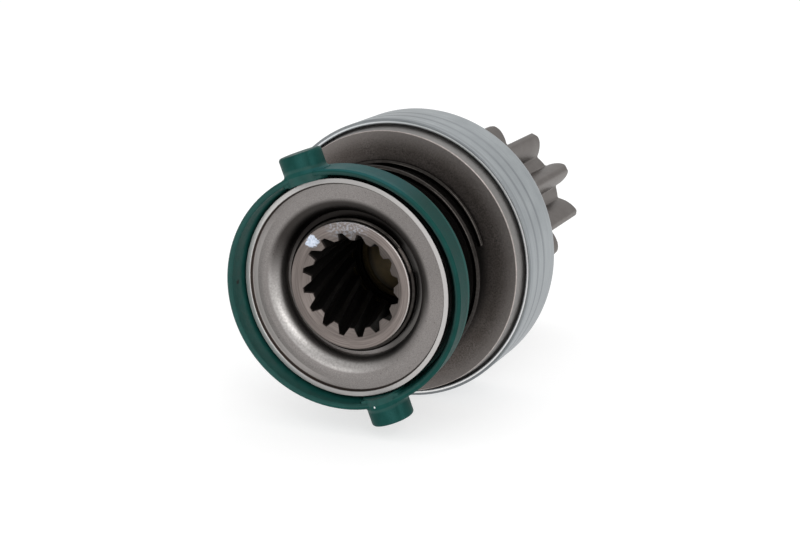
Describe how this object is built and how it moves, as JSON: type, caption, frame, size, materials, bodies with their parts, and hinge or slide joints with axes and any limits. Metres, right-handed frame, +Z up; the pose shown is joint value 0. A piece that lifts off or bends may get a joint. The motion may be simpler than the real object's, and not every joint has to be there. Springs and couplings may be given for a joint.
{
  "type": "starter drive with roller overrunning clutch",
  "caption": "Starter drive: helical-splined sleeve, overrunning roller clutch in a zinc shell, spring-loaded shift ring with two pins, and a spur pinion.",
  "frame": {"origin": "centre of the sleeve's end face at the splined mouth, on the drive axis", "axes": "+Y along the drive axis from the splined mouth to the pinion, +Z up, the part lying on its side"},
  "size_m": [0.0568, 0.0909, 0.0568],
  "materials": {
    "forged_steel": "phosphated, dark",
    "pinion_steel": "hardened, satin",
    "zinc_steel": "zinc plated, satin",
    "washer_steel": "satin",
    "roller_steel": "ground",
    "spring_steel": "oiled, dark",
    "bronze": "sintered, oiled",
    "green_plastic": "moulded, satin",
    "seal_rubber": "matt"
  },
  "bodies": {
    "clutch": {"driver": "forged_steel", "shell": "zinc_steel", "cover_plate": "zinc_steel", "seal_ring": "seal_rubber", "thrust_washer": "bronze", "snap_ring": "spring_steel", "mesh_spring": "spring_steel", "roller_spring_1": "spring_steel", "roller_spring_2": "spring_steel", "roller_spring_3": "spring_steel", "roller_spring_4": "spring_steel", "roller_spring_5": "spring_steel"},
    "pinion": {"pinion": "pinion_steel", "rear_bush": "bronze", "front_bush": "bronze", "half_ring_left": "spring_steel", "half_ring_right": "spring_steel"},
    "guide": {"stop_washer": "washer_steel", "seat_washer": "washer_steel"},
    "shift_ring": {"shift_ring": "green_plastic"},
    "roller_1": {"roller_1": "roller_steel"},
    "roller_2": {"roller_2": "roller_steel"},
    "roller_3": {"roller_3": "roller_steel"},
    "roller_4": {"roller_4": "roller_steel"},
    "roller_5": {"roller_5": "roller_steel"}
  },
  "joints": [
    {"name": "pinion_spin", "type": "hinge", "parent": "clutch", "child": "pinion", "pos_m": [0, 0.05, 0], "axis": [0, 1, 0], "continuous": true},
    {"name": "guide_slide", "type": "slide", "parent": "clutch", "child": "guide", "axis": [0, 1, 0], "range_m": [0, 0.007], "stiffness_N_per_m": 3000, "springref_m": -0.01, "deforming": ["mesh_spring"]},
    {"name": "shift_ring_spin", "type": "hinge", "parent": "guide", "child": "shift_ring", "pos_m": [0, 0, 0], "axis": [0, 1, 0], "continuous": true},
    {"name": "roller_1_spin", "type": "hinge", "parent": "clutch", "child": "roller_1", "pos_m": [0.00542, 0.0284, 0.01669], "axis": [0, 1, 0], "continuous": true},
    {"name": "roller_2_spin", "type": "hinge", "parent": "clutch", "child": "roller_2", "pos_m": [0.01755, 0.0284, 0], "axis": [0, 1, 0], "continuous": true},
    {"name": "roller_3_spin", "type": "hinge", "parent": "clutch", "child": "roller_3", "pos_m": [0.00542, 0.0284, -0.01669], "axis": [0, 1, 0], "continuous": true},
    {"name": "roller_4_spin", "type": "hinge", "parent": "clutch", "child": "roller_4", "pos_m": [-0.0142, 0.0284, -0.01032], "axis": [0, 1, 0], "continuous": true},
    {"name": "roller_5_spin", "type": "hinge", "parent": "clutch", "child": "roller_5", "pos_m": [-0.0142, 0.0284, 0.01032], "axis": [0, 1, 0], "continuous": true}
  ],
  "couplings": [
    {"joint": "roller_1_spin", "follows": "pinion_spin", "ratio": -2.8889},
    {"joint": "roller_2_spin", "follows": "pinion_spin", "ratio": -2.8889},
    {"joint": "roller_3_spin", "follows": "pinion_spin", "ratio": -2.8889},
    {"joint": "roller_4_spin", "follows": "pinion_spin", "ratio": -2.8889},
    {"joint": "roller_5_spin", "follows": "pinion_spin", "ratio": -2.8889}
  ]
}
